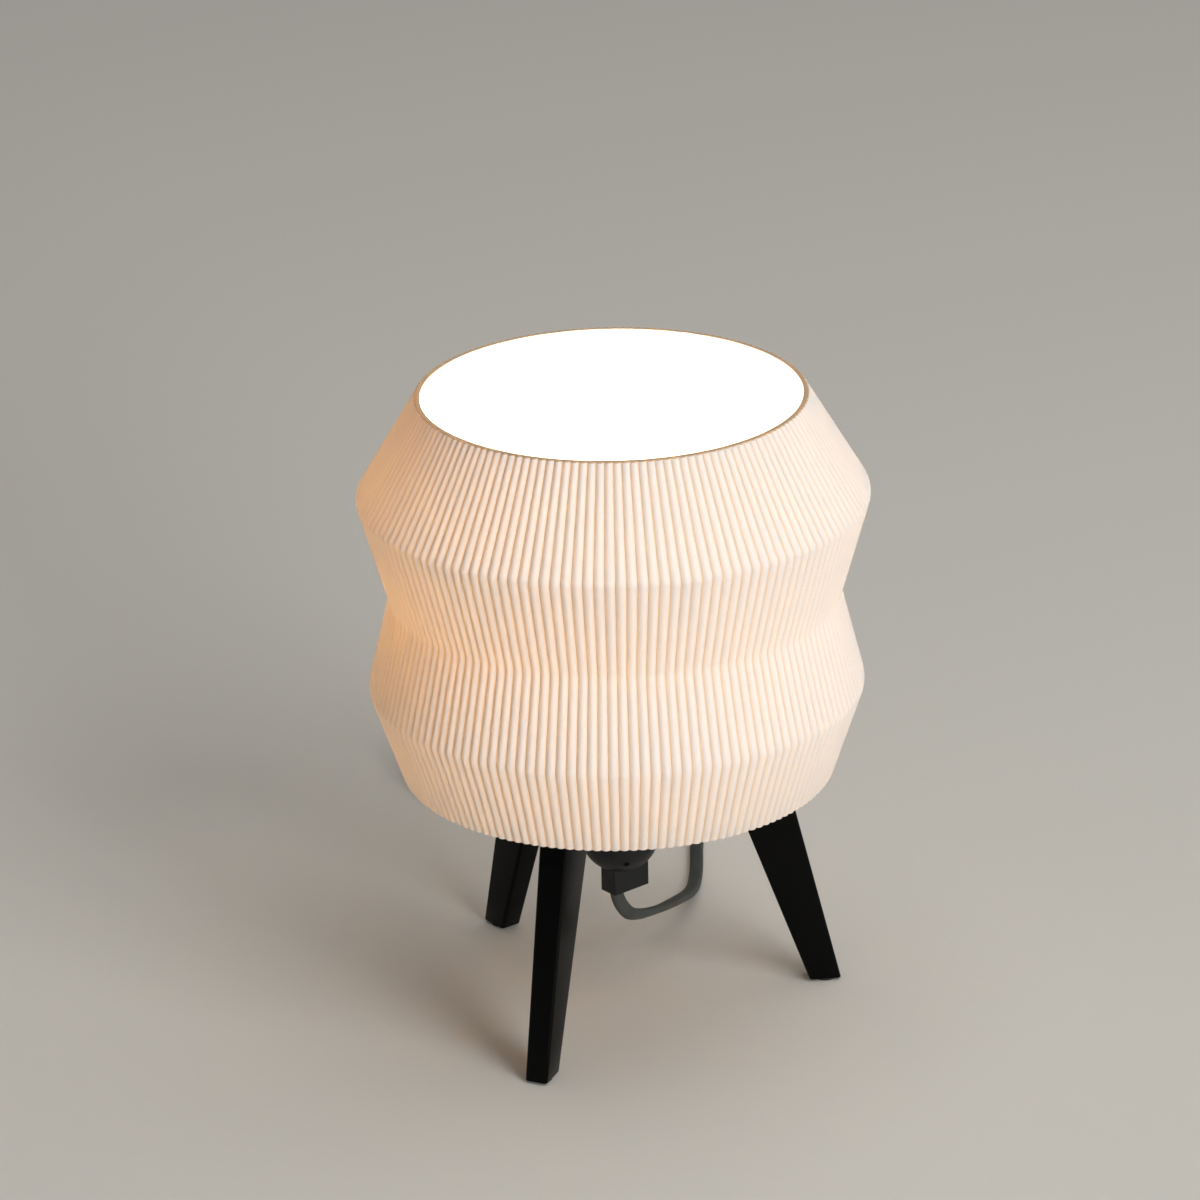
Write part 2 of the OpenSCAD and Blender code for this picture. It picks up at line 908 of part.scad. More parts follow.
module plug_body() {
    half_w = plug_w / 2;
    color("dimgray")
        at_plug()
            translate([0, 0, -plug_t / 2])
                linear_extrude(plug_t)
                    polygon([
                        [0, -6.5], [8, -8], [17, -half_w + 3], [21, -half_w], [plug_l, -half_w],
                        [plug_l, half_w], [21, half_w], [17, half_w - 3], [8, 8], [0, 6.5]
                    ]);
}

// Places its children at each pin, with Z along it
module at_pins() {
    at_plug()
        for (side = [-1, 1])
            translate([plug_l, side * pin_pitch / 2, 0])
                rotate([0, 90, 0])
                    children();
}

module pin_sleeves() {
    color("dimgray")
        at_pins()
            tube(sleeve_r, sleeve_bore_r, sleeve_l);
}

module plug_pins() {
    tip_l = 1;
    color("silver")
        at_pins() {
            cylinder(r = sleeve_bore_r - eps, h = sleeve_l + 1);
            translate([0, 0, sleeve_l])
                cylinder(r = pin_r, h = pin_l - sleeve_l - tip_l);
            translate([0, 0, pin_l - tip_l - eps])
                cylinder(r1 = pin_r, r2 = pin_r - 0.7, h = tip_l);
        }
}

shade();
shade_ring();
hub_spider();
leg_right();
leg_back();
leg_front();
foot_pads();
leg_inserts();
leg_screws();
holder_cap();
holder_body();
holder_core();
screw_shell();
centre_contact();
shell_contact();
holder_terminals();
terminal_screws();
holder_leads();
cap_lock_screw();
cord_clamp();
clamp_screw();
bulb_globe();
bulb_housing();
bulb_shell();
bulb_insulator();
bulb_tip();
led_board();
led_chips();
led_driver();
lamp_cord();
switch_base();
switch_cover();
switch_screws();
switch_rocker();
rocker_pin();
rocker_plunger();
contact_lever();
switch_terminals();
switch_cord();
cord_coil();
cord_tie();
plug_cord();
plug_boot();
plug_body();
pin_sleeves();
plug_pins();
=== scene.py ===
import math

import bpy
from mathutils import Matrix, Vector


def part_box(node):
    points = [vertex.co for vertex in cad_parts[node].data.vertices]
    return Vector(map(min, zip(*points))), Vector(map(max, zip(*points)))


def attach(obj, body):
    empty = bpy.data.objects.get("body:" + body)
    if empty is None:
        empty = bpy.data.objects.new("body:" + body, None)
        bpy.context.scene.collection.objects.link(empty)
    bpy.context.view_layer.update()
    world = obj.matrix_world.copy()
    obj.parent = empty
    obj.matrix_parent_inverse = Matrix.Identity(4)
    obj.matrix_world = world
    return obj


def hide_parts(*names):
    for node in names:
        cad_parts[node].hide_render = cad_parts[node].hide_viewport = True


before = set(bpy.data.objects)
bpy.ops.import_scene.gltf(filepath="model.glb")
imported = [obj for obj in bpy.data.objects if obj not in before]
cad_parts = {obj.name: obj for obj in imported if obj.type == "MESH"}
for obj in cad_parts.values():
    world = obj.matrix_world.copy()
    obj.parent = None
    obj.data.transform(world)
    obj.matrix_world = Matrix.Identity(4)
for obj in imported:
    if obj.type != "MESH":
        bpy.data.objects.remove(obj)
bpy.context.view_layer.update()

MM = 0.001

# ---------------------------------------------------------------- sizes, in millimetres

# Shade: radius and height above its base of each fold, and how far each fold is rounded
SHADE_FOLDS = [(85.4, 0.0), (97.4, 36.1), (88.1, 73.0), (100.0, 114.5), (76.1, 154.8)]
FOLD_ROUND = 1.8
SHADE_WALL = 2.4
SHADE_FLOOR = 2.0
# Hole in the shade's floor for the lampholder's skirt
SHADE_BORE = 14.3
RIBS = 150
RIB_DEPTH = 1.1
# Places across one rib where it has a point: 0 is its crest and -0.5 its groove
RIB_STEPS = (-0.5, -0.45, -0.38, -0.26, -0.13, 0.0, 0.13, 0.26, 0.38, 0.45)

# Power that shapes a rib: below 1, its crest is broad and its groove narrow
RIB_SHAPE = 0.8
# Places on the shade's colour ramps: a groove's bottom, darkest with painted shade, and the cut face
# of the top rim
GROOVE = 0.8
RIM_TAN = 1.0
# Part of the shade's look that is light coming through its wall
SHADE_GLOW = 0.17
# Height of one printed layer
LAYER = 0.3

# Legs: azimuth, and the sections at the foot and at the top (inner r, outer r, thickness)
LEGS = {"leg_right": 7.0, "leg_back": 127.0, "leg_front": -113.0}
LEG_FOOT = (75.8, 88.5, 9.3)
LEG_TOP = (41.2, 65.4, 11.8)
# Rounding along a leg, and the chamfers round its foot and its top
LEG_EDGE = 1.3
LEG_CHAMFER = 0.35
LEG_TOP_CHAMFER = 0.3
LEG_LEVELS = 8

# Cord: width and thickness of its flat section, and the distance between its rings
CORD_W = 5.7
CORD_T = 3.4
CORD_STEP = 2.5

# Coil behind the lamp: middle, outermost turn, distance between turns, turns in each layer,
# turns of the climb between the layers, and points in a turn
COIL_AT = (-48.0, 216.0)
COIL_OUTER = 38.4
COIL_PITCH = 3.6
COIL_SPIRAL_TURNS = 3
COIL_CLIMB_TURNS = 0.5
COIL_POINTS = 24
# Middle radius, half width, height and corner of the wound coil's section
COIL_R = 33.0
COIL_HALF_W = 7.15
COIL_H = 11.75
COIL_CORNER = 1.6

# Strap round the coil: azimuth, width, thickness and the pitch of its threads
TIE_AZIMUTH = -110
TIE_W = 9.0
TIE_T = 0.35
THREAD = 0.6
# How far the strap lifts the turns of the lower layer, the share of that for the upper layer,
# and how far to each side of the strap the turns still rise, in degrees
TIE_LIFT = 0.38
TIE_UPPER_SHARE = 0.3
TIE_REACH = 30

# Routes: x, y and z of each point, then the azimuth and elevation of the cord's flat width
LAMP_ROUTE = [
    (-1.9, -2.6, 57, 40, 0), (-1.9, -2.6, 52, 40, 0), (-1.9, -2.6, 46.5, 40, 0),
    (-1.2, -2, 42.5, 38, 8), (0.3, -0.5, 38.2, 34, 18), (3.2, 2.9, 33.2, 26, 28),
    (7.9, 13.4, 27.8, 8, 30), (11.6, 21.3, 24.9, 0, 26), (15.7, 31.2, 21.6, -6, 20),
    (19.9, 43.8, 17.6, -10, 14), (23.8, 57.2, 13.3, -13, 9), (27.1, 70.5, 9, -13, 5),
    (29.6, 84, 5.3, -11, 2), (30.9, 96.2, 2.9, -7, 0), (31.7, 108, 1.9, -4, 0),
    (32.1, 119, 1.7, -3, 0), (32.5, 134, 1.7, -3, 0), (34, 155, 1.7, -6, 0),
    (37, 172, 2.6, -7, 0), (39.4, 184, 5, -5, 0), (40, 192, 6, 0, 0),
]
# Where the cord leaves the switch
SWITCH_END = (40.0, 254.0, 6.0)
# Half loop from the switch to the coil
LOOP_AT = (15.2, 256.0)
LOOP_R = 24.8
# Height of the cord's middle in the coil's lower and upper layer, where it stands on its edge
EDGE_Z = 2.9
TOP_TURN_Z = 8.8
# From the coil up to the plug: azimuth where the climb starts, degrees that it takes, and its bend
CLIMB_START = 225
PLUG_CLIMB = 95
PLUG_BEND_R = 24.0
PLUG_CORD_END = (-62.1, 240.0, 18.65)

# Bevel of the moulded pieces' edges, and how near to each other their points are joined
JOIN_WITHIN = 0.005
SOFT_EDGES = {
    "switch_base": 0.6, "switch_cover": 0.9, "switch_rocker": 0.3, "plug_body": 1.6,
    "plug_boot": 0.4, "cord_clamp": 0.3, "foot_pads": 0.15,
}

# Reach of the floor
FLOOR = 12000

# Area lights, each with its direction, distance and size in metres, power in watts and colour
DAYLIGHT = (0.90, 0.96, 1.0)
AREA_LIGHTS = [
    ("window", (0.74, -0.76, 0.85), 2.6, 1.3, 20, DAYLIGHT),
    ("window_low", (0.52, -0.9, 0.22), 6.0, 2.4, 172, DAYLIGHT),
    ("ceiling", (0.2, 0.1, 1.0), 3.0, 3.2, 26, (0.94, 0.98, 1.0)),
]
# Middle of the lamp's height, in metres, which they point at
LIGHTS_AIM = (0, 0, 0.12)
# Even light from all round
AMBIENT = 0.17
AMBIENT_COLOUR = (0.97, 1.0, 0.98, 1)
# Lit bulb: place, power and colour of its light, and brightness of its globe
GLOW_X = -27
GLOW_Z = 190
GLOW_POWER = 1.42
GLOW_COLOUR = (1.0, 0.80, 0.58)
BULB_GLOW = 1.2

# Camera: distance, height of its target, elevation, small turns in degrees, and focal length
CAMERA_DISTANCE = 2187.8
CAMERA_TARGET_Z = 120.0
CAMERA_ELEVATION = 23.34
CAMERA_YAW = 0.158
CAMERA_PITCH = 1.206
CAMERA_ROLL = 1.09
CAMERA_LENS = 166.72


# ---------------------------------------------------------------- mesh helpers

def add_mesh(name, points, faces, smooth_angle=30):
    """A mesh object from points in millimetres, smooth except at edges sharper than smooth_angle."""
    mesh = bpy.data.meshes.new(name)
    mesh.from_pydata([(x * MM, y * MM, z * MM) for x, y, z in points], [], faces)
    mesh.validate()
    mesh.update()
    mesh.shade_smooth()
    mesh.set_sharp_from_angle(angle=math.radians(smooth_angle))
    piece = bpy.data.objects.new(name, mesh)
    bpy.context.scene.collection.objects.link(piece)
    return piece


def ring_faces(first, second, count):
    """Quads between two rings of count points that start at those numbers."""
    return [
        (first + k, first + (k + 1) % count, second + (k + 1) % count, second + k)
        for k in range(count)
    ]


def finish_piece(piece, body, slot, material, *nodes):
    """Rides the piece on its body, gives it its material and lets it stand for CAD nodes."""
    piece.data.materials.clear()
    piece.data.materials.append(material)
    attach(piece, body)
    if nodes:
        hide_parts(*nodes)
    return piece


# ---------------------------------------------------------------- camera

def add_camera():
    """Camera in front of the lamp, looking slightly down on it."""
    elevation = math.radians(CAMERA_ELEVATION)
    back = Vector((0, -math.cos(elevation), math.sin(elevation)))
    place = Vector((0, 0, CAMERA_TARGET_Z)) + back * CAMERA_DISTANCE
    right = Vector((1, 0, 0))
    up = right.cross(-back)
    yaw = Matrix.Rotation(math.radians(CAMERA_YAW), 3, up)
    back, right = yaw @ back, yaw @ right
    pitch = Matrix.Rotation(math.radians(CAMERA_PITCH), 3, right)
    back, up = pitch @ back, pitch @ up
    roll = Matrix.Rotation(math.radians(CAMERA_ROLL), 3, -back)
    right, up = roll @ right, roll @ up
    camera = bpy.data.objects.new("camera", bpy.data.cameras.new("camera"))
    axes = Matrix((right, up, back)).transposed().to_4x4()
    camera.matrix_world = Matrix.Translation(place * MM) @ axes
    camera.data.lens = CAMERA_LENS
    camera.data.sensor_width = 36
    camera.data.clip_end = 50
    bpy.context.scene.collection.objects.link(camera)
    bpy.context.scene.camera = camera


# ---------------------------------------------------------------- materials

def new_material(name):
    """A material, its nodes and its Principled shader."""
    material = bpy.data.materials.new(name)
    material.use_nodes = True
    nodes = material.node_tree.nodes
    return material, nodes, nodes["Principled BSDF"]


def add_noise(material, scale, detail=4.0, rough=0.55):
    """A noise texture on object coordinates, scale in cycles per metre."""
    nodes, links = material.node_tree.nodes, material.node_tree.links
    place = nodes.new("ShaderNodeTexCoord")
    noise = nodes.new("ShaderNodeTexNoise")
    noise.inputs["Scale"].default_value = scale
    noise.inputs["Detail"].default_value = detail
    noise.inputs["Roughness"].default_value = rough
    links.new(place.outputs["Object"], noise.inputs["Vector"])
    return noise


def ramp(material, source, stops):
    """A colour ramp of (position, colour) stops driven by an output."""
    nodes, links = material.node_tree.nodes, material.node_tree.links
    node = nodes.new("ShaderNodeValToRGB")
    while len(node.color_ramp.elements) < len(stops):
        node.color_ramp.elements.new(0.5)
    for element, (place, colour) in zip(node.color_ramp.elements, stops):
        element.position = place
        element.color = (*colour, 1)
    links.new(source, node.inputs["Fac"])
    return node


def spread(material, source, low, high):
    """A value between low and high driven by an output from 0 to 1."""
    nodes, links = material.node_tree.nodes, material.node_tree.links
    node = nodes.new("ShaderNodeMapRange")
    node.inputs["To Min"].default_value = low
    node.inputs["To Max"].default_value = high
    links.new(source, node.inputs["Value"])
    return node.outputs["Result"]


def add_bump(material, height, strength, distance_mm):
    """Bump on the material's shader from a height output."""
    nodes, links = material.node_tree.nodes, material.node_tree.links
    bump = nodes.new("ShaderNodeBump")
    bump.inputs["Strength"].default_value = strength
    bump.inputs["Distance"].default_value = distance_mm * MM
    links.new(height, bump.inputs["Height"])
    links.new(bump.outputs["Normal"], nodes["Principled BSDF"].inputs["Normal"])


def bands(material, direction, pitch_mm, distortion=0.0):
    """Waves along an axis of the object, pitch_mm from crest to crest."""
    nodes, links = material.node_tree.nodes, material.node_tree.links
    place = nodes.new("ShaderNodeTexCoord")
    wave = nodes.new("ShaderNodeTexWave")
    wave.wave_type = "BANDS"
    wave.bands_direction = direction
    wave.inputs["Scale"].default_value = math.pi / (10 * pitch_mm * MM)
    wave.inputs["Distortion"].default_value = distortion
    links.new(place.outputs["Object"], wave.inputs["Vector"])
    return wave.outputs["Fac"]


def moulded_plastic(name, colour, rough, grain_mm=0.8, grain=0.25, shine=0.35):
    """Moulded plastic: slight colour drift, uneven gloss and a fine grain."""
    material, _, shader = new_material(name)
    links = material.node_tree.links
    drift = add_noise(material, 60, 3)
    darker = tuple(c * 0.82 for c in colour)
    lighter = tuple(min(1, c * 1.2 + 0.0004) for c in colour)
    tint = ramp(material, drift.outputs["Fac"], [(0.3, darker), (0.7, lighter)])
    links.new(tint.outputs["Color"], shader.inputs["Base Color"])
    uneven = spread(material, drift.outputs["Fac"], rough - 0.05, rough + 0.06)
    links.new(uneven, shader.inputs["Roughness"])
    shader.inputs["Specular IOR Level"].default_value = shine
    fine = add_noise(material, 1 / (grain_mm * MM), 5)
    add_bump(material, fine.outputs["Fac"], grain, 0.08)
    return material


def add_coat(material, weight, rough):
    """A thin clear coat over the material."""
    shader = material.node_tree.nodes["Principled BSDF"]
    shader.inputs["Coat Weight"].default_value = weight
    shader.inputs["Coat Roughness"].default_value = rough


def metal(name, colour, rough, brushed=0.15):
    """Metal with fine uneven polish."""
    material, _, shader = new_material(name)
    links = material.node_tree.links
    shader.inputs["Metallic"].default_value = 1
    drift = add_noise(material, 400, 4)
    worn = tuple(c * 0.8 for c in colour)
    tint = ramp(material, drift.outputs["Fac"], [(0.35, worn), (0.7, colour)])
    links.new(tint.outputs["Color"], shader.inputs["Base Color"])
    uneven = spread(material, drift.outputs["Fac"], rough - 0.08, rough + 0.1)
    links.new(uneven, shader.inputs["Roughness"])
    add_bump(material, drift.outputs["Fac"], brushed, 0.02)
    return material


def shade_material():
    """Translucent printed shade: pale crests, grooves painted darker and warmer as painted shade,
    and light through the wall.
    """
    material, nodes, shader = new_material("shade_print")
    links = material.node_tree.links
    groove = nodes.new("ShaderNodeAttribute")
    groove.attribute_name = "groove"
    # Base colour from crest to groove: the grooves are painted darker and warmer, which is painted
    # shade; the rim's cut face is tan
    tint = ramp(material, groove.outputs["Fac"], [
        (0.0, (0.84, 0.865, 0.88)), (0.4, (0.80, 0.80, 0.78)), (GROOVE, (0.78, 0.68, 0.55)),
        (RIM_TAN, (0.62, 0.47, 0.32)),
    ])
    links.new(tint.outputs["Color"], shader.inputs["Base Color"])
    shader.inputs["Roughness"].default_value = 0.55
    shader.inputs["Specular IOR Level"].default_value = 0.2
    glow = nodes.new("ShaderNodeBsdfTranslucent")
    through = ramp(material, groove.outputs["Fac"], [
        (0.0, (1.0, 0.72, 0.36)), (GROOVE, (0.98, 0.68, 0.33)), (RIM_TAN, (0.60, 0.36, 0.16)),
    ])
    links.new(through.outputs["Color"], glow.inputs["Color"])
    both = nodes.new("ShaderNodeMixShader")
    both.inputs["Fac"].default_value = SHADE_GLOW
    links.new(shader.outputs["BSDF"], both.inputs[1])
    links.new(glow.outputs["BSDF"], both.inputs[2])
    links.new(both.outputs["Shader"], nodes["Material Output"].inputs["Surface"])
    add_bump(material, bands(material, "Z", LAYER, 0.4), 0.15, 0.05)
    return material


def woven_strap():
    """Black woven strap: two crossed waves of thread."""
    material, nodes, shader = new_material("woven_strap")
    links = material.node_tree.links
    weave = nodes.new("ShaderNodeMath")
    weave.operation = "MULTIPLY"
    for k, direction in enumerate(("X", "Z")):
        links.new(bands(material, direction, THREAD), weave.inputs[k])
    tint = ramp(material, weave.outputs["Value"], [
        (0.0, (0.008, 0.008, 0.009)), (1.0, (0.04, 0.04, 0.042)),
    ])
    links.new(tint.outputs["Color"], shader.inputs["Base Color"])
    shader.inputs["Roughness"].default_value = 0.9
    add_bump(material, weave.outputs["Value"], 0.8, 0.15)
    return material


def bulb_glass():
    """Frosted opal globe, lit from inside."""
    material = moulded_plastic("bulb_opal", (0.85, 0.84, 0.82), 0.45, 0.4, 0.1)
    shader = material.node_tree.nodes["Principled BSDF"]
    shader.inputs["Emission Color"].default_value = (1.0, 0.86, 0.68, 1)
    shader.inputs["Emission Strength"].default_value = BULB_GLOW
    return material


# ---------------------------------------------------------------- cords

def flat_vector(azimuth, elevation):
    """Direction of the cord's flat width, from two angles in degrees."""
    az, el = math.radians(azimuth), math.radians(elevation)
    return Vector((math.cos(el) * math.cos(az), math.cos(el) * math.sin(az), math.sin(el)))


def climb(low, high, share):
    """Height on a smooth climb from low to high, as share goes from 0 to 1."""
    return low + (high - low) * share * share * (3 - 2 * share)


def on_circle(centre, radius, degrees):
    """Point of a level circle, as (x, y)."""
    angle = math.radians(degrees)
    return centre[0] + radius * math.cos(angle), centre[1] + radius * math.sin(angle)


def switch_route():
    """From the switch round half a loop to the coil, turning from flat onto its edge."""
    route = [(SWITCH_END[0], SWITCH_END[1], SWITCH_END[2], 0, 0)]
    for angle in range(0, 181, 15):
        share = min(1, angle / 90)
        z = climb(SWITCH_END[2], EDGE_Z, share)
        route.append((*on_circle(LOOP_AT, LOOP_R, angle), z, angle, 90 * share))
    return route + [(LOOP_AT[0] - LOOP_R, y, EDGE_Z, 180, 90) for y in (247, 238, 227)]


def plug_route():
    """Off the top of the coil and round a quarter turn to the plug, turning flat again."""
    plug_z = PLUG_CORD_END[2]
    route = []
    for angle in range(CLIMB_START, 179, -9):
        z = climb(TOP_TURN_Z, plug_z, (CLIMB_START - angle) / PLUG_CLIMB)
        route.append((*on_circle(COIL_AT, COIL_OUTER, angle), z, angle, 90))
    centre = (COIL_AT[0] - COIL_OUTER + PLUG_BEND_R, COIL_AT[1])
    bend_share = PLUG_BEND_R / COIL_OUTER
    for angle in range(165, 89, -15):
        climbed = CLIMB_START - 180 + (180 - angle) * bend_share
        z = climb(TOP_TURN_Z, plug_z, min(1, climbed / PLUG_CLIMB))
        route.append((*on_circle(centre, PLUG_BEND_R, angle), z, angle, angle - 90))
    return route + [(*PLUG_CORD_END, 90, 0)]


def coil_route():
    """Turns of the coil: a spiral inwards, a climb to the next layer and a spiral outwards."""
    low, high = EDGE_Z, TOP_TURN_Z
    inner = COIL_OUTER - COIL_PITCH * COIL_SPIRAL_TURNS
    total = 2 * COIL_SPIRAL_TURNS + COIL_CLIMB_TURNS
    route = []
    for k in range(1, round((total - (CLIMB_START - 180) / 360) * COIL_POINTS)):
        turn = k / COIL_POINTS
        if turn < COIL_SPIRAL_TURNS:
            r, z = COIL_OUTER - COIL_PITCH * turn, low
        elif turn < COIL_SPIRAL_TURNS + COIL_CLIMB_TURNS:
            share = (turn - COIL_SPIRAL_TURNS) / COIL_CLIMB_TURNS
            r, z = inner, climb(low, high, share)
        else:
            r, z = inner + COIL_PITCH * (turn - COIL_SPIRAL_TURNS - COIL_CLIMB_TURNS), high
        z += TIE_LIFT * under_tie(-360 * turn) * (1 if z < TOP_TURN_Z else TIE_UPPER_SHARE)
        route.append((*on_circle(COIL_AT, r, -360 * turn), z, 0, 90))
    return route


def under_tie(degrees):
    """How much the tie's strap lifts the turns at a place, from 0 to 1."""
    away = abs((degrees - TIE_AZIMUTH + 180) % 360 - 180)
    return max(0.0, math.cos(math.radians(90 / TIE_REACH * away))) if away < TIE_REACH else 0.0


def smooth_route(route):
    """Points about CORD_STEP apart on a smooth curve through the route, each with its flat way."""
    places = [Vector(p[:3]) for p in route]
    flats = [flat_vector(p[3], p[4]) for p in route]
    for k in range(1, len(flats)):
        if flats[k].dot(flats[k - 1]) < 0:
            flats[k] = -flats[k]
    made = []
    for k in range(len(places) - 1):
        a, b = places[max(k - 1, 0)], places[k]
        c, d = places[k + 1], places[min(k + 2, len(places) - 1)]
        long = (c - b).length
        out = (c - a).normalized() * long
        into = (d - b).normalized() * long
        steps = max(1, round(long / CORD_STEP))
        for i in range(steps + (k == len(places) - 2)):
            t = i / steps
            t2, t3 = t * t, t * t * t
            point = (
                b * (2 * t3 - 3 * t2 + 1) + out * (t3 - 2 * t2 + t)
                + c * (3 * t2 - 2 * t3) + into * (t3 - t2)
            )
            made.append((point, flats[k].lerp(flats[k + 1], t)))
    return made


def flat_section():
    """Section of the flat cord, as (along its width, along its thickness)."""
    half, r = (CORD_W - CORD_T) / 2, CORD_T / 2
    section = []
    for side in (1, -1):
        for k in range(9):
            angle = math.radians(-90 + 22.5 * k)
            section.append((side * (half + r * math.cos(angle)), side * r * math.sin(angle)))
    return section


def add_cord(name, route):
    """The swept flat cord, and the centres of its rings in metres."""
    line = smooth_route(route)
    section = flat_section()
    count = len(section)
    points, faces = [], []
    for i, (point, flat) in enumerate(line):
        along = (line[min(i + 1, len(line) - 1)][0] - line[max(i - 1, 0)][0]).normalized()
        side = (flat - along * flat.dot(along)).normalized()
        up = along.cross(side)
        points += [tuple(point + side * a + up * b) for a, b in section]
        if i:
            faces += ring_faces((i - 1) * count, i * count, count)
    last = (len(line) - 1) * count
    faces += [tuple(reversed(range(count))), tuple(range(last, last + count))]
    return add_mesh(name, points, faces, 40), [tuple(p * MM) for p, _ in line]


def cord_material():
    """Soft dark grey sheath with a faint matt grain."""
    return moulded_plastic("cord_sheath", (0.055, 0.056, 0.050), 0.5, 1.2, 0.2, 0.25)


def add_cords():
    """The cord from the lamp to the switch, and from there through the coil to the plug."""
    sheath = cord_material()
    lamp_cord, lamp_path = add_cord("flat_cord_to_lamp", LAMP_ROUTE)
    finish_piece(lamp_cord, "lamp", "cord_grey", sheath, "lamp_cord")
    to_plug = switch_route() + coil_route() + plug_route()
    plug_cord, plug_path = add_cord("flat_cord_to_plug", to_plug)
    finish_piece(plug_cord, "lamp", "cord_grey", sheath, "switch_cord", "cord_coil", "plug_cord")
    return (lamp_cord, lamp_path), (plug_cord, plug_path)


def tie_outline(thickness):
    """Closed outline round the coil's turns, as (radius, z), with the strap's tail on top."""
    outline = []
    for side, top, start in ((1, 1, 0), (-1, 1, 90), (-1, 0, 180), (1, 0, 270)):
        centre_r = COIL_R + side * (COIL_HALF_W - COIL_CORNER)
        centre_z = COIL_H - COIL_CORNER if top else TIE_T + COIL_CORNER
        for k in range(7):
            angle = math.radians(start + 15 * k)
            tail = TIE_T if thickness and top and side > 0 else 0.0
            r = COIL_CORNER + thickness + tail
            outline.append((centre_r + r * math.cos(angle), centre_z + r * math.sin(angle)))
    return outline


def add_tie():
    """Woven strap that holds the coil's turns together."""
    half = math.degrees(TIE_W / 2 / COIL_R)
    # Places across the strap, and the share of its thickness that each has
    across = [(-1, 0.6), (-0.93, 1), (-0.5, 1), (0, 1), (0.5, 1), (0.93, 1), (1, 0.6)]
    points, faces = [], []
    count = len(tie_outline(0))
    for share, full in across:
        for thickness in (0.0, TIE_T * full):
            for r, z in tie_outline(thickness):
                points.append((*on_circle(COIL_AT, r, TIE_AZIMUTH + half * share), max(0.0, z)))
    for i in range(1, len(across)):
        before, here = (i - 1) * 2 * count, i * 2 * count
        faces += ring_faces(before + count, here + count, count)
        faces += [tuple(reversed(f)) for f in ring_faces(before, here, count)]
    last = (len(across) - 1) * 2 * count
    faces += ring_faces(0, count, count)
    faces += [tuple(reversed(f)) for f in ring_faces(last, last + count, count)]
    piece = add_mesh("woven_tie", points, faces, 40)
    return finish_piece(piece, "lamp", "strap_black", woven_strap(), "cord_tie")


# ---------------------------------------------------------------- shade

def rounded_profile(folds, size, steps=5):
    """The fold line with each inner corner replaced by a short curve of that size."""
    line = [folds[0]]
    for before, corner, after in zip(folds, folds[1:], folds[2:]):
        start = toward(corner, before, size)
        end = toward(corner, after, size)
        for k in range(steps + 1):
            t = k / steps
            line.append(tuple(
                (1 - t) ** 2 * start[i] + 2 * t * (1 - t) * corner[i] + t * t * end[i]
                for i in range(2)
            ))
    line.append(folds[-1])
    return line


def toward(corner, other, far):
    """Point that far from the corner, on the line to the other point."""
    share = far / math.dist(corner, other)
    return tuple(corner[i] + (other[i] - corner[i]) * share for i in range(2))


def rib_groove(step):
    """How deep the wall is cut at a place across a rib, from 0 at the crest to 1 in the groove."""
    return 1 - abs(math.cos(math.pi * step)) ** RIB_SHAPE


def ring_points(radius, z, depth):
    """One ring of the shade, with its ribs cut by depth."""
    made = []
    for rib in range(RIBS):
        for step in RIB_STEPS:
            angle = 2 * math.pi * (rib + step) / RIBS
            r = radius - depth * rib_groove(step)
            made.append((r * math.cos(angle), r * math.sin(angle), z))
    return made


def bore_ring(z):
    """One ring of the bore, with a point for each rib."""
    angles = [2 * math.pi * (k - 0.5) / RIBS for k in range(RIBS)]
    return [(SHADE_BORE * math.cos(angle), SHADE_BORE * math.sin(angle), z) for angle in angles]


def add_shade():
    """Ribbed shade, from its base up the outside, over the rim and down inside to its floor."""
    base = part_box("shade")[0][2] / MM
    outer = rounded_profile(SHADE_FOLDS, FOLD_ROUND)
    inner = [(r - SHADE_WALL, z) for r, z in reversed(outer) if z > SHADE_FLOOR + 0.5]
    slope = (SHADE_FOLDS[1][0] - SHADE_FOLDS[0][0]) / SHADE_FOLDS[1][1]
    floor_r = SHADE_FOLDS[0][0] - SHADE_WALL + slope * SHADE_FLOOR
    top_r, top_z = outer[-1]
    rings = [(outer[0][0] - 0.3, 0.0, RIB_DEPTH), (outer[0][0], 0.35, RIB_DEPTH)]
    rings += [(r, z, RIB_DEPTH) for r, z in outer[1:-1]]
    rings += [(top_r + 0.1, top_z - 0.5, RIB_DEPTH), (top_r + 0.1, top_z - 0.3, RIB_DEPTH)]
    rings += [(top_r - 0.15, top_z, RIB_DEPTH * 0.8), (top_r - SHADE_WALL + 0.25, top_z, 0.0)]
    rim_face = range(len(rings) - 3, len(rings))
    rings += [(r, z - 0.3 if z == top_z else z, 0.0) for r, z in inner]
    rings += [(floor_r, SHADE_FLOOR, 0.0)]
    count = RIBS * len(RIB_STEPS)
    points, faces = [], []
    for i, (r, z, depth) in enumerate(rings):
        points += ring_points(r, base + z, depth)
        if i:
            faces += ring_faces((i - 1) * count, i * count, count)
    first = len(points)
    for z in (SHADE_FLOOR, 0.0):
        points += bore_ring(base + z)
    top_ring = (len(rings) - 1) * count
    faces += fan_faces(top_ring, first)
    faces += ring_faces(first, first + RIBS, RIBS)
    faces += [tuple(reversed(f)) for f in fan_faces(0, first + RIBS)]
    piece = add_mesh("shade_ribbed", points, faces, 50)
    # Depth in a groove at each point, which the material turns into painted shade; the rim's cut
    # face gets its own tan
    grooves = piece.data.attributes.new("groove", "FLOAT", "POINT")
    values = [0.0] * len(points)
    for i, (_, _, depth) in enumerate(rings):
        for k in range(count):
            cut = depth / RIB_DEPTH * rib_groove(RIB_STEPS[k % len(RIB_STEPS)])
            values[i * count + k] = RIM_TAN if i in rim_face else GROOVE * cut
    grooves.data.foreach_set("value", values)
    return finish_piece(piece, "lamp", "shade", shade_material(), "shade")


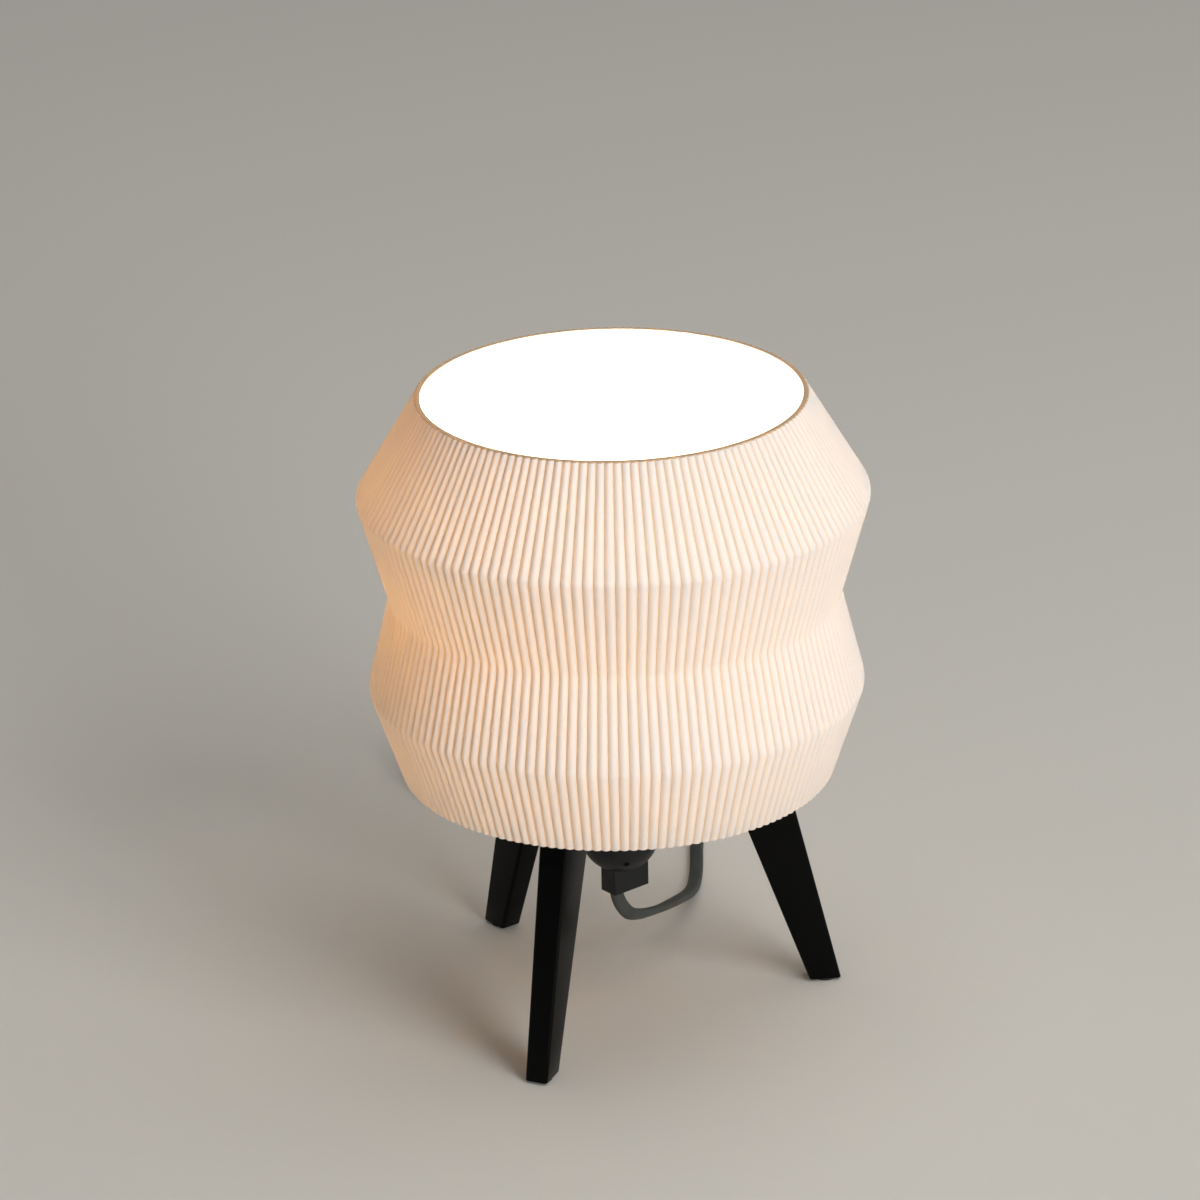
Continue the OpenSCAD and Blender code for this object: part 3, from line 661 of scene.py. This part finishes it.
def fan_faces(wide, narrow):
    """Triangles between a ring with every step of every rib and a ring with one point a rib."""
    steps = len(RIB_STEPS)
    faces = []
    for rib in range(RIBS):
        here, following = narrow + rib, narrow + (rib + 1) % RIBS
        for k in range(steps):
            a = wide + rib * steps + k
            b = wide + (rib * steps + k + 1) % (RIBS * steps)
            faces.append((a, b, here))
        faces.append((wide + ((rib + 1) * steps) % (RIBS * steps), following, here))
    return faces


# ---------------------------------------------------------------- legs

def leg_section(share, inset):
    """Rounded section of a leg, share of the way from the foot to the top."""
    inner, outer, thick = (a + (b - a) * share for a, b in zip(LEG_FOOT, LEG_TOP))
    edge = LEG_EDGE - inset * 0.5
    corners = [
        (outer - inset - edge, thick / 2 - inset - edge, 0),
        (inner + inset + edge, thick / 2 - inset - edge, 90),
        (inner + inset + edge, -thick / 2 + inset + edge, 180),
        (outer - inset - edge, -thick / 2 + inset + edge, 270),
    ]
    section = []
    for x, y, start in corners:
        for k in range(9):
            angle = math.radians(start + 11.25 * k)
            section.append((x + edge * math.cos(angle), y + edge * math.sin(angle)))
    return section


def add_leg(name, azimuth, material):
    """A splayed, tapered leg with rounded edges and chamfered ends."""
    low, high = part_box(name)[0][2] / MM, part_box(name)[1][2] / MM
    turn = math.radians(azimuth)
    levels = [(low, LEG_CHAMFER), (low + 0.1, 0.1), (low + LEG_CHAMFER, 0.0)]
    levels += [(low + (high - low) * k / LEG_LEVELS, 0.0) for k in range(1, LEG_LEVELS)]
    levels += [(high - LEG_TOP_CHAMFER, 0.0), (high, LEG_TOP_CHAMFER)]
    points, faces = [], []
    count = len(leg_section(0, 0))
    for i, (z, inset) in enumerate(levels):
        points += [
            (x * math.cos(turn) - y * math.sin(turn), x * math.sin(turn) + y * math.cos(turn), z)
            for x, y in leg_section(z / high, inset)
        ]
        if i:
            faces += ring_faces((i - 1) * count, i * count, count)
    last = (len(levels) - 1) * count
    faces += [tuple(reversed(range(count))), tuple(range(last, last + count))]
    piece = add_mesh(name + "_satin", points, faces, 40)
    return finish_piece(piece, "lamp", "leg_black", material, name)


# ---------------------------------------------------------------- stage

def add_floor():
    """Plain pale floor, as far as FLOOR on each side."""
    points = [(-FLOOR, -FLOOR, 0), (FLOOR, -FLOOR, 0), (FLOOR, FLOOR, 0), (-FLOOR, FLOOR, 0)]
    floor = add_mesh("floor", points, [(0, 1, 2, 3)])
    material, _, shader = new_material("pale_floor")
    shader.inputs["Roughness"].default_value = 0.85
    shader.inputs["Base Color"].default_value = (0.77, 0.71, 0.635, 1)
    floor.data.materials.append(material)


def add_area_light(name, direction, distance, size, energy, colour):
    """A round soft light that points at the lamp."""
    light = bpy.data.lights.new(name, "AREA")
    light.shape = "DISK"
    light.size = size
    light.energy = energy
    light.color = colour
    source = bpy.data.objects.new(name, light)
    source.location = Vector(direction).normalized() * distance + Vector(LIGHTS_AIM)
    source.rotation_euler = Vector(direction).to_track_quat("Z", "Y").to_euler()
    source.visible_camera = False
    bpy.context.scene.collection.objects.link(source)


def add_lights():
    """Even light, the area lights, and the light of the lit bulb."""
    world = bpy.data.worlds.new("studio")
    world.use_nodes = True
    background = world.node_tree.nodes["Background"]
    background.inputs["Color"].default_value = AMBIENT_COLOUR
    background.inputs["Strength"].default_value = AMBIENT
    bpy.context.scene.world = world
    for settings in AREA_LIGHTS:
        add_area_light(*settings)
    bulb = bpy.data.lights.new("bulb_glow", "POINT")
    bulb.energy = GLOW_POWER
    bulb.color = GLOW_COLOUR
    bulb.shadow_soft_size = 0.02
    glow = bpy.data.objects.new("bulb_glow", bulb)
    glow.location = (GLOW_X * MM, 0, GLOW_Z * MM)
    glow.visible_camera = False
    bpy.context.scene.collection.objects.link(glow)


# ---------------------------------------------------------------- CAD nodes that stay

def dress(node, material):
    """Gives a CAD node its material and smooth shading."""
    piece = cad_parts[node]
    piece.data.materials.clear()
    piece.data.materials.append(material)
    piece.data.shade_smooth()
    piece.data.set_sharp_from_angle(angle=math.radians(30))


def soften(node, width_mm):
    """Joins a moulded CAD node's faces and rounds its edges with a bevel."""
    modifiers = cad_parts[node].modifiers
    joined = modifiers.new("joined_faces", "WELD")
    joined.merge_threshold = JOIN_WITHIN * MM
    bevel = modifiers.new("soft_edges", "BEVEL")
    bevel.width = width_mm * MM
    bevel.segments = 3
    bevel.harden_normals = True
    bevel.limit_method = "ANGLE"
    bevel.angle_limit = math.radians(35)


def dress_nodes():
    """Materials of the CAD nodes that stay, and rounded edges on the moulded ones."""
    black = moulded_plastic("holder_plastic", (0.012, 0.012, 0.012), 0.4, shine=0.22)
    steel = metal("zinc_steel", (0.62, 0.62, 0.63), 0.35)
    blackened = metal("blackened_steel", (0.02, 0.02, 0.021), 0.45)
    brass = metal("stamped_brass", (0.78, 0.58, 0.26), 0.3)
    nickel = metal("nickel_pins", (0.80, 0.78, 0.74), 0.18)
    rubber = moulded_plastic("pad_rubber", (0.025, 0.025, 0.025), 0.8)
    white = moulded_plastic("bulb_white", (0.85, 0.84, 0.82), 0.35)
    case = moulded_plastic("case_plastic", (0.045, 0.046, 0.045), 0.45)
    rocker = moulded_plastic("rocker_plastic", (0.02, 0.02, 0.02), 0.22)
    lead = moulded_plastic("core_sheath", (0.22, 0.10, 0.05), 0.4)
    glowing = bulb_glass()
    board = moulded_plastic("driver_board", (0.05, 0.22, 0.11), 0.4)
    phosphor = moulded_plastic("phosphor", (0.9, 0.75, 0.3), 0.4)
    chosen = {
        "hub_spider": black, "shade_ring": black, "holder_cap": black, "holder_body": black,
        "cord_clamp": black, "foot_pads": rubber, "leg_inserts": brass, "leg_screws": steel,
        "holder_core": white, "screw_shell": brass, "centre_contact": brass,
        "shell_contact": brass, "holder_terminals": brass, "terminal_screws": steel,
        "holder_leads": lead, "cap_lock_screw": blackened, "clamp_screw": steel,
        "bulb_globe": glowing, "bulb_housing": white, "bulb_shell": nickel,
        "bulb_insulator": black, "bulb_tip": nickel, "led_board": nickel,
        "led_chips": phosphor, "led_driver": board, "switch_base": case,
        "switch_cover": case, "switch_screws": steel, "switch_rocker": rocker,
        "rocker_pin": steel, "rocker_plunger": white, "contact_lever": brass,
        "switch_terminals": brass, "plug_boot": case, "plug_body": case, "pin_sleeves": case,
        "plug_pins": nickel,
    }
    for node, material in chosen.items():
        dress(node, material)
    for node, width in SOFT_EDGES.items():
        soften(node, width)
    # The light of the bulb stands outside its globe, and these parts cast no shadow from it
    for node in ("bulb_globe", "bulb_housing", "led_board", "led_chips"):
        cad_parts[node].visible_shadow = False


# ---------------------------------------------------------------- the object

bpy.context.scene.view_settings.view_transform = "Standard"
add_camera()
lamp_cord, plug_cord = add_cords()
add_tie()
add_shade()
satin_black = moulded_plastic("leg_satin_black", (0.0010, 0.0010, 0.0010), 0.22, 0.6, 0.08, 0.05)
add_coat(satin_black, 0.08, 0.15)
for leg_name, leg_azimuth in LEGS.items():
    add_leg(leg_name, leg_azimuth, satin_black)
dress_nodes()
add_floor()
add_lights()
